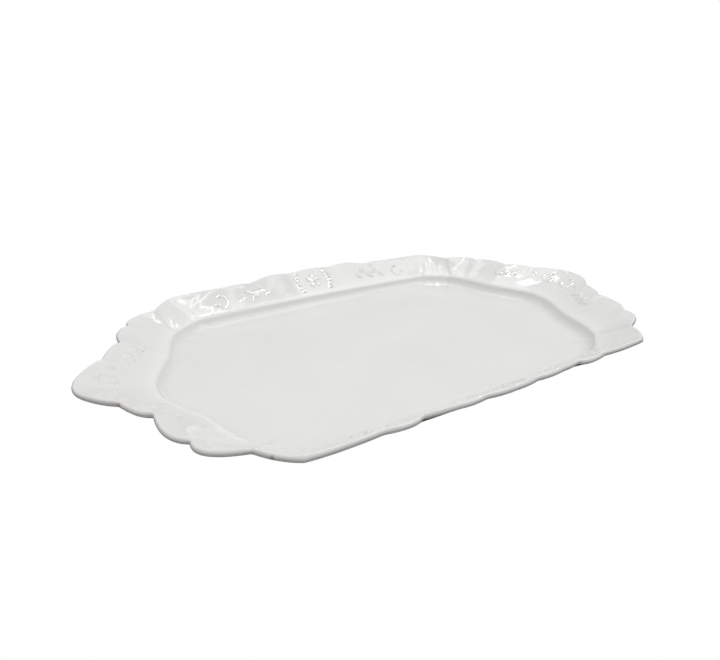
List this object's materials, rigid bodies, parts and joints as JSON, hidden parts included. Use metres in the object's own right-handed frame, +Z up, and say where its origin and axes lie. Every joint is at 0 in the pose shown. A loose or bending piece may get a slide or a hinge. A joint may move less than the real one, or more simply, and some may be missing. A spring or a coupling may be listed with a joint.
{
  "type": "china serving platter",
  "caption": "Long moulded white china platter with cut corners, a scalloped rim with raised flowers and leaves, a flat sunk well and a foot ring.",
  "frame": {"origin": "on the table, under the middle of the platter", "axes": "+X along the length to the right tip, +Y across to the back long side, +Z up out of the well"},
  "size_m": [0.4, 0.25, 0.0313],
  "materials": {
    "white_glaze": "clear glossy glaze over white relief, slightly thicker and cooler in the hollows",
    "fired_clay": "fine dense fired clay, buff where a chip shows it",
    "bare_foot": "unglazed standing ring, ground smooth and matt"
  },
  "bodies": {
    "root": {"clay_body": "fired_clay", "foot_ring": "bare_foot", "face_glaze": "white_glaze", "back_glaze": "white_glaze", "base_glaze": "white_glaze", "end_scrolls_right": "white_glaze", "end_scrolls_left": "white_glaze", "flower_back": "white_glaze", "bead_arcs_back": "white_glaze", "leaf_sprig_back_right": "white_glaze", "side_scroll_back_right": "white_glaze", "end_spray_back_right": "white_glaze", "leaf_sprig_back_left": "white_glaze", "side_scroll_back_left": "white_glaze", "end_spray_back_left": "white_glaze", "flower_front": "white_glaze", "bead_arcs_front": "white_glaze", "leaf_sprig_front_right": "white_glaze", "side_scroll_front_right": "white_glaze", "end_spray_front_right": "white_glaze", "leaf_sprig_front_left": "white_glaze", "side_scroll_front_left": "white_glaze", "end_spray_front_left": "white_glaze"}
  },
  "joints": []
}
